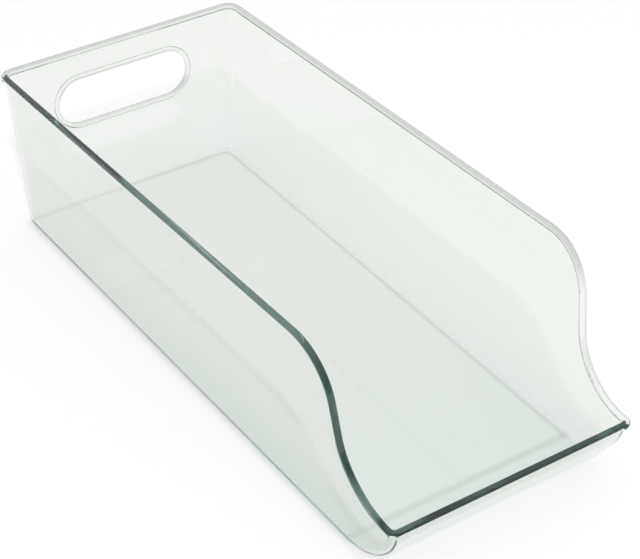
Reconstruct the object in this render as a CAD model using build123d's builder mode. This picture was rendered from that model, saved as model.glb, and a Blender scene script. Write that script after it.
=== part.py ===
from build123d import *
import os
from math import cos, radians, sin, tan

# Frame: X across the width, the scooped front faces -Y, the handle wall faces +Y, Z is up.
# The origin is the centre of the footprint, on the plane that the bin stands on.
# Sizes are in millimetres, angles in degrees.

# Overall size, the shoulder being where the side rim and the scoop would meet unrounded
length = 350.0
width = 148.6
back_height = 93.0
shoulder_height = 102.7
lip_height = 34.4

# Moulded wall and the draft that lets it leave its mould
wall = 2.2
side_draft = 4.0
back_draft = 3.5
inner_corner_radius = 4.3
inner_edge_radius = 1.3

# Rolled nose under the lip, inside a little over the radius of a lying can
nose_inner_radius = 35.2

# Scoop of the side rims, from the shoulder down to the lip
scoop_run = 48.8
scoop_angle = 77.8
shoulder_radius = 29.0
foot_radius = 35.0

# Rounded bead round the mouth
rim_overhang = 1.6
rim_depth = 3.2
rim_rounding = 1.2

# Handle slot in the back wall and its raised collar
slot_length = 80.3
slot_height = 26.8
slot_drop = 30.6
slot_chamfer = 0.5
collar_width = 2.6
collar_height = 1.0
collar_rounding = 0.6

# Two faces that turn by more than this at their shared edge make a sharp edge
sharp_turn = 20.0

# Derived sizes
headroom = shoulder_height + wall
reach = length + width
nose_radius = nose_inner_radius + wall
nose_y = nose_radius + rim_overhang - length / 2
shoulder_y = scoop_run - length / 2
foot_y = shoulder_y - (shoulder_height - lip_height) / tan(radians(scoop_angle))
rim_slope = (shoulder_height - back_height) / (length / 2 - shoulder_y)
slot_z = back_height - slot_drop


def half_width_at(height, grow):
    """Half width of the side walls at a height, their outer faces moved out by grow."""
    lean = (shoulder_height - height) * tan(radians(side_draft))
    return width / 2 - rim_overhang - lean + grow / cos(radians(side_draft))


def back_at(height, grow):
    """Y of the back wall at a height, its outer face moved out by grow."""
    lean = (back_height - height) * tan(radians(back_draft))
    return length / 2 - rim_overhang - lean + grow / cos(radians(back_draft))


def is_sharp(body, edge):
    """True where the two faces that share an edge of a body meet at a sharp turn."""
    middle = edge @ 0.5
    normals = [face.normal_at(middle) for face in body.faces() if edge in face.edges()]
    return len(normals) == 2 and normals[0].get_angle(normals[1]) > sharp_turn


def is_on_rim(edge):
    """True where an edge lies on the rim line, seen from the side."""
    middle = edge @ 0.5
    return rim_line.distance_to(Vertex(middle.Y, middle.Z, 0)) < rim_rounding / 10


def tub(grow):
    """Solid drafted tub with the rolled nose, as the bin's outer faces moved out by grow."""
    corner_radius = inner_corner_radius + wall + grow
    edge_radius = inner_edge_radius + wall + grow
    underside = -grow
    nose_tip = nose_y - nose_radius - grow
    with BuildPart() as form:
        with BuildSketch(Plane.YZ):
            with BuildLine():
                base = Line((back_at(underside, grow), underside), (nose_y, underside))
                nose = RadiusArc(base @ 1, (nose_tip, nose_radius), nose_radius + grow)
                Polyline(nose @ 1, (nose_tip, headroom), (back_at(headroom, grow), headroom), base @ 0)
            make_face()
        extrude(amount=reach, both=True)
        with BuildSketch(Plane.XZ):
            low = half_width_at(underside, grow)
            high = half_width_at(headroom, grow)
            Polygon((-low, underside), (low, underside), (high, headroom), (-high, headroom), align=None)
        extrude(amount=reach, both=True, mode=Mode.INTERSECT)
        uprights = form.edges().filter_by(lambda edge: abs((edge % 0.5).Z) > cos(radians(sharp_turn)))
        fillet(uprights.group_by(Axis.Y)[-1], radius=corner_radius)
        mouth = form.faces().sort_by(Axis.Z)[-1].edges()
        low_edges = form.edges().filter_by(lambda edge: edge not in mouth and is_sharp(form.part, edge))
        fillet(low_edges, radius=edge_radius)
    return form.part


# Side view of everything under the rim line: side rim, scoop and lip
with BuildSketch(Plane.YZ) as below_rim:
    with BuildLine():
        rim_line = FilletPolyline(
            (length, back_height - rim_slope * length / 2),
            (shoulder_y, shoulder_height),
            (foot_y, lip_height),
            (-length, lip_height),
            radius=[shoulder_radius, foot_radius],
        )
        Polyline(rim_line @ 1, (-length, -length), (length, -length), rim_line @ 0)
    make_face()

# Side view of the bead, a band of even depth under the rim line
with BuildSketch(Plane.YZ) as rim_band:
    add(below_rim.sketch_local)
    offset(amount=-rim_depth, mode=Mode.SUBTRACT)

with BuildPart() as rim_bead:
    add(tub(rim_overhang))
    extrude(rim_band.sketch, amount=reach, both=True, mode=Mode.INTERSECT)
    lower_edges = rim_bead.edges().filter_by(lambda edge: not is_on_rim(edge) and is_sharp(rim_bead.part, edge))
    fillet(lower_edges, radius=rim_rounding)

# Slot and collar lie square to the outer face of the drafted back wall
outward = Vector(0, cos(radians(back_draft)), -sin(radians(back_draft)))
back_face = Plane(origin=(0, back_at(slot_z, 0), slot_z), x_dir=(-1, 0, 0), z_dir=outward)

with BuildPart() as collar:
    with BuildSketch(back_face.offset(-wall / 2)):
        SlotOverall(slot_length + 2 * collar_width, slot_height + 2 * collar_width)
    extrude(amount=wall / 2 + collar_height)
    fillet(collar.faces().sort_by(Axis((0, 0, 0), outward))[-1].edges(), radius=collar_rounding)

with BuildPart() as organizer_bin:
    add(tub(0))
    extrude(below_rim.sketch, amount=reach, both=True, mode=Mode.INTERSECT)
    add(rim_bead.part)
    add(collar.part)
    add(tub(-wall), mode=Mode.SUBTRACT)
    with BuildSketch(back_face):
        SlotOverall(slot_length, slot_height)
    extrude(amount=2 * wall + collar_height, both=True, mode=Mode.SUBTRACT)
    slot_edges = organizer_bin.edges(Select.LAST)
    chamfer(slot_edges.filter_by(lambda edge: is_sharp(organizer_bin.part, edge)), length=slot_chamfer)
    rim_edges = organizer_bin.edges().filter_by(is_on_rim)
    fillet(rim_edges.filter_by(lambda edge: is_sharp(organizer_bin.part, edge)), radius=rim_rounding)

organizer_bin.part.label = "organizer_bin"
os.makedirs("parts", exist_ok=True)
export_step(organizer_bin.part, "parts/organizer_bin.step")
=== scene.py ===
from math import cos, radians, sin

import bpy
from mathutils import Matrix, Vector

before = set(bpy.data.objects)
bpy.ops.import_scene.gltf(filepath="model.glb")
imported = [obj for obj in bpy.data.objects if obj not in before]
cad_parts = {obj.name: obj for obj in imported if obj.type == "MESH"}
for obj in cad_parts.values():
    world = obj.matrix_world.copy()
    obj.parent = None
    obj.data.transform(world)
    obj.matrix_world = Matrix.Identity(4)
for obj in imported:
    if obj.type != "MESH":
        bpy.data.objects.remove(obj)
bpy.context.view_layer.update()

# Lengths are in metres and angles in degrees, except where a name says otherwise.
# X runs across the bin, its scooped front faces -Y, and it stands on Z = 0.
WHITE = (1.0, 1.0, 1.0, 1.0)

# The camera stands off the bin's near left corner, at the photograph's viewing angle
CAMERA_AZIMUTH = -35.306
CAMERA_ELEVATION = 36.362
CAMERA_ROLL = 1.210
CAMERA_DISTANCE = 1.0207
CAMERA_ASIDE = 0.01132
CAMERA_ABOVE = 0.02932
LENS_MM = 112.21
SENSOR_MM = 36.0
CLIP_START = 0.01

# The clear plastic takes light away with depth, most of the red and least of the green
PLASTIC_IOR = 1.53
PLASTIC_ROUGHNESS = 0.0
ABSORPTION_DENSITY = 10.0
ABSORPTION_COLOUR = (0.42, 0.59, 0.55, 1.0)

# The base's green tint is its own. Its step from darker at the near front corner to lighter at the
# far back one, by the sum of X and Y, is painted shade.
BASE_FRONT_TINT_SHADED = (0.848, 0.878, 0.856, 1.0)
BASE_BACK_TINT_LIT = (0.894, 0.912, 0.890, 1.0)
BASE_SHADE_REACH = 0.15

# The walls' lighter tint comes in over these heights
WALL_TINT = (0.915, 0.932, 0.903, 1.0)
WALL_TINT_FROM = 0.003
WALL_TINT_TO = 0.045

# Above the lip, faces that look up get painted shade that darkens the rims' tops, by height and by
# the normal's upward part
RIM_TOP_SHADE = (0.65, 0.67, 0.64, 1.0)
RIM_SHADE_FROM = 0.040
RIM_SHADE_TO = 0.060
UPWARD_FROM = 0.3
UPWARD_TO = 0.8

# Painted contact shade darkens the rounded edge that the bin stands on, behind the nose. A face's
# turn is its normal's
# sideways parts less the upward one: about 1 on the walls and the underside, more in between.
FOOT_CONTACT_SHADE = (0.52, 0.58, 0.54, 1.0)
EDGE_HEIGHT = 0.0035
EDGE_TURN_FROM = 1.05
EDGE_TURN_TO = 1.3

# Some of the edge's painted contact shade also draws a shaded line where the flat base meets the
# rolled nose, in Y
NOSE_LINE = -0.1365
NOSE_SHADE_REACH = 0.0035
NOSE_SHADE_STRENGTH = 0.30

# What is left of the lamp's light behind a face, less where it grazes and least under the near rim
SHADE_FACING = (0.90, 0.92, 0.90, 1.0)
SHADE_GRAZING = (0.72, 0.745, 0.725, 1.0)
GRAZING_BLEND = 0.5
SHADE_RIM = (0.20, 0.22, 0.21, 1.0)

# The near rim is what lies more or less level within these limits in X, Y and Z
RIM_LEVEL = 0.5
RIM_RIGHT_LIMIT = -0.03
RIM_BACK_LIMIT = 0.130
RIM_LOW_LIMIT = 0.025

# The floor lies a hair under the bin. Its lift shows to the camera and in the plastic alone.
FLOOR_SIZE = 8.0
FLOOR_DROP = 0.0002
FLOOR_COLOUR = (0.94, 0.94, 0.94, 1.0)
FLOOR_ROUGHNESS = 0.9
FLOOR_LIFT = 0.115

# The white room is brightest to the far right and above, by the cosine from that direction
BRIGHT_SIDE = (0.45, 0.60, 0.66)
DIM_UNTIL = -0.5
BRIGHT_FROM = 0.6
WORLD_DIM = 0.38
WORLD_BRIGHT = 0.90

# One small lamp stands over the near left
LAMP_PLACE = (-1.22, -2.32, 3.02)
LAMP_AIM = (0, 0, 0.03)
LAMP_SIZE = 0.04
LAMP_WATTS = 36.0

# Light that a clear wall leads down to the floor bounces dozens of times on its way
LIGHT_BOUNCES = 128

# A Mix node has its colours' sockets after those of its other types
MIX_COLOURS = (6, 7)
MIX_COLOUR_RESULT = 2


def make_camera():
    """A long lens at the photograph's place, rolled and panned as fitted to the bin's edges."""
    azimuth, elevation, roll = map(radians, (CAMERA_AZIMUTH, CAMERA_ELEVATION, CAMERA_ROLL))
    back = Vector((sin(azimuth) * cos(elevation), -cos(azimuth) * cos(elevation), sin(elevation)))
    level = (-back).cross(Vector((0, 0, 1))).normalized()
    rise = level.cross(-back)
    right = level * cos(roll) + rise * sin(roll)
    above = rise * cos(roll) - level * sin(roll)
    camera = bpy.data.objects.new("camera", bpy.data.cameras.new("camera"))
    bpy.context.scene.collection.objects.link(camera)
    camera.data.lens = LENS_MM
    camera.data.sensor_width = SENSOR_MM
    camera.data.clip_start = CLIP_START
    place = back * CAMERA_DISTANCE + level * CAMERA_ASIDE + rise * CAMERA_ABOVE
    turned = Matrix((right, above, back)).transposed().to_4x4()
    camera.matrix_world = Matrix.Translation(place) @ turned
    bpy.context.scene.camera = camera


def calculate(tree, operation, first, second=0):
    """A Math node's result, each of its two terms a socket or a number."""
    node = tree.nodes.new("ShaderNodeMath")
    node.operation = operation
    for socket, term in zip(node.inputs, (first, second)):
        if isinstance(term, (int, float)):
            socket.default_value = term
        else:
            tree.links.new(term, socket)
    return node.outputs[0]


def blend(tree, factor, first, second):
    """One colour going over into another, each of them a socket or a colour."""
    node = tree.nodes.new("ShaderNodeMix")
    node.data_type = "RGBA"
    tree.links.new(factor, node.inputs["Factor"])
    for index, colour in zip(MIX_COLOURS, (first, second)):
        if isinstance(colour, tuple):
            node.inputs[index].default_value = colour
        else:
            tree.links.new(colour, node.inputs[index])
    return node.outputs[MIX_COLOUR_RESULT]


def parts_of(tree, socket):
    """The X, Y and Z parts of a vector socket."""
    parts = tree.nodes.new("ShaderNodeSeparateXYZ")
    tree.links.new(socket, parts.inputs[0])
    return parts.outputs["X"], parts.outputs["Y"], parts.outputs["Z"]


def ramp(tree, socket, start, end, low=0, high=1):
    """A soft step that goes from low to high while a socket goes from start to end."""
    node = tree.nodes.new("ShaderNodeMapRange")
    node.interpolation_type = "SMOOTHSTEP"
    node.inputs["From Min"].default_value = start
    node.inputs["From Max"].default_value = end
    node.inputs["To Min"].default_value = low
    node.inputs["To Max"].default_value = high
    tree.links.new(socket, node.inputs["Value"])
    return node.outputs["Result"]


def body_tint(tree, place, normal):
    """The tint of the base and the walls, with painted shade on the base and on the rims' tops."""
    x, y, z = place
    # Painted shade: the base grows darker towards the near front corner
    painted_falloff = ramp(tree, calculate(tree, "ADD", x, y), -BASE_SHADE_REACH, BASE_SHADE_REACH)
    base = blend(tree, painted_falloff, BASE_FRONT_TINT_SHADED, BASE_BACK_TINT_LIT)
    body = blend(tree, ramp(tree, z, WALL_TINT_FROM, WALL_TINT_TO), base, WALL_TINT)
    upward = ramp(tree, normal[2], UPWARD_FROM, UPWARD_TO)
    high = ramp(tree, z, RIM_SHADE_FROM, RIM_SHADE_TO)
    # Painted shade darkens the faces on top of the rims
    return blend(tree, calculate(tree, "MULTIPLY", upward, high), body, RIM_TOP_SHADE)


def contact_shade_amount(tree, place, normal):
    """How much painted contact shade there is on the edges at the bin's foot and along the nose's
    line.
    """
    _, y, z = place
    across, along = (calculate(tree, "ABSOLUTE", part) for part in normal[:2])
    turn = calculate(tree, "SUBTRACT", calculate(tree, "ADD", across, along), normal[2])
    turned = ramp(tree, turn, EDGE_TURN_FROM, EDGE_TURN_TO)
    turned = calculate(tree, "MULTIPLY", turned, calculate(tree, "GREATER_THAN", y, NOSE_LINE))
    # Painted shade: a soft dark line along where the base meets the nose
    off_line = calculate(tree, "ABSOLUTE", calculate(tree, "SUBTRACT", y, NOSE_LINE))
    on_line = ramp(tree, off_line, NOSE_SHADE_REACH, 0)
    nose_shade = calculate(tree, "MULTIPLY", on_line, NOSE_SHADE_STRENGTH)
    low = calculate(tree, "LESS_THAN", z, EDGE_HEIGHT)
    return calculate(tree, "MULTIPLY", low, calculate(tree, "MAXIMUM", turned, nose_shade))


def lamp_shade(tree, place, normal):
    """The colour that a face gives to the lamp's light on its way to the floor."""
    x, y, z = place
    on_rim = calculate(tree, "GREATER_THAN", calculate(tree, "ABSOLUTE", normal[2]), RIM_LEVEL)
    for within in (
        calculate(tree, "LESS_THAN", x, RIM_RIGHT_LIMIT),
        calculate(tree, "LESS_THAN", y, RIM_BACK_LIMIT),
        calculate(tree, "GREATER_THAN", z, RIM_LOW_LIMIT),
    ):
        on_rim = calculate(tree, "MULTIPLY", on_rim, within)
    weight = tree.nodes.new("ShaderNodeLayerWeight")
    weight.inputs["Blend"].default_value = GRAZING_BLEND
    shade = blend(tree, weight.outputs["Facing"], SHADE_FACING, SHADE_GRAZING)
    return blend(tree, on_rim, shade, SHADE_RIM)


def clear_plastic():
    """Glassy plastic that refracts what is seen and lets the lamp's light through to the floor."""
    material = bpy.data.materials.new("clear_plastic")
    material.use_nodes = True
    tree = material.node_tree
    nodes, links = tree.nodes, tree.links
    shader, output = nodes["Principled BSDF"], nodes["Material Output"]
    shader.inputs["Roughness"].default_value = PLASTIC_ROUGHNESS
    shader.inputs["IOR"].default_value = PLASTIC_IOR
    shader.inputs["Transmission Weight"].default_value = 1.0
    depth = nodes.new("ShaderNodeVolumeAbsorption")
    depth.inputs["Color"].default_value = ABSORPTION_COLOUR
    depth.inputs["Density"].default_value = ABSORPTION_DENSITY
    links.new(depth.outputs[0], output.inputs["Volume"])

    coordinates = nodes.new("ShaderNodeTexCoord")
    place = parts_of(tree, coordinates.outputs["Object"])
    normal = parts_of(tree, coordinates.outputs["Normal"])
    body = body_tint(tree, place, normal)
    # The edges at the bin's foot get painted contact shade over the body's tint
    tint = blend(tree, contact_shade_amount(tree, place, normal), body, FOOT_CONTACT_SHADE)
    links.new(tint, shader.inputs["Base Color"])

    through = nodes.new("ShaderNodeBsdfTransparent")
    links.new(lamp_shade(tree, place, normal), through.inputs["Color"])
    path = nodes.new("ShaderNodeLightPath")
    mix = nodes.new("ShaderNodeMixShader")
    links.new(path.outputs["Is Shadow Ray"], mix.inputs[0])
    links.new(shader.outputs[0], mix.inputs[1])
    links.new(through.outputs[0], mix.inputs[2])
    links.new(mix.outputs[0], output.inputs["Surface"])
    return material


def pale_floor():
    """A wide plain white floor that keeps the bin's shadow."""
    bpy.ops.mesh.primitive_plane_add(size=FLOOR_SIZE, location=(0, 0, -FLOOR_DROP))
    floor = bpy.context.object
    floor.name = "floor"
    material = bpy.data.materials.new("floor_white")
    material.use_nodes = True
    tree = material.node_tree
    shader = tree.nodes["Principled BSDF"]
    shader.inputs["Base Color"].default_value = FLOOR_COLOUR
    shader.inputs["Roughness"].default_value = FLOOR_ROUGHNESS
    shader.inputs["Specular IOR Level"].default_value = 0.0
    rays = tree.nodes.new("ShaderNodeLightPath").outputs
    seen = calculate(tree, "MAXIMUM", rays["Is Camera Ray"], rays["Is Transmission Ray"])
    seen = calculate(tree, "MAXIMUM", seen, rays["Is Glossy Ray"])
    lift = calculate(tree, "MULTIPLY", seen, FLOOR_LIFT)
    tree.links.new(lift, shader.inputs["Emission Strength"])
    shader.inputs["Emission Color"].default_value = WHITE
    floor.data.materials.append(material)


def white_room():
    """A white world, dimmer on the camera's side."""
    world = bpy.data.worlds.new("studio")
    world.use_nodes = True
    tree = world.node_tree
    background = tree.nodes["Background"]
    way = tree.nodes.new("ShaderNodeTexCoord")
    toward = tree.nodes.new("ShaderNodeVectorMath")
    toward.operation = "DOT_PRODUCT"
    tree.links.new(way.outputs["Generated"], toward.inputs[0])
    toward.inputs[1].default_value = Vector(BRIGHT_SIDE).normalized()
    cosine = toward.outputs["Value"]
    strength = ramp(tree, cosine, DIM_UNTIL, BRIGHT_FROM, WORLD_DIM, WORLD_BRIGHT)
    tree.links.new(strength, background.inputs["Strength"])
    background.inputs["Color"].default_value = WHITE
    bpy.context.scene.world = world
    # The room's light then reaches the floor by refraction, and only the lamp's by shadow rays
    world.cycles.sampling_method = "NONE"


def small_lamp():
    """A square lamp that casts the bin's shadow and has no mirror image in the plastic."""
    lamp = bpy.data.objects.new("key", bpy.data.lights.new("key", "AREA"))
    bpy.context.scene.collection.objects.link(lamp)
    lamp.data.size = LAMP_SIZE
    lamp.data.energy = LAMP_WATTS
    lamp.visible_glossy = False
    lamp.location = LAMP_PLACE
    aim = Vector(LAMP_AIM) - Vector(LAMP_PLACE)
    lamp.rotation_euler = aim.to_track_quat("-Z", "Y").to_euler()


make_camera()
white_room()
small_lamp()
pale_floor()
bin_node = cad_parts["organizer_bin"]
bin_node.data.materials.clear()
bin_node.data.materials.append(clear_plastic())

bpy.context.scene.cycles.max_bounces = LIGHT_BOUNCES
bpy.context.scene.cycles.transmission_bounces = LIGHT_BOUNCES
bpy.context.scene.cycles.glossy_bounces = LIGHT_BOUNCES
# Unfiltered, the plastic is as smooth for light on its way to the floor as for the camera
bpy.context.scene.cycles.blur_glossy = 0
bpy.context.scene.view_settings.view_transform = "Standard"
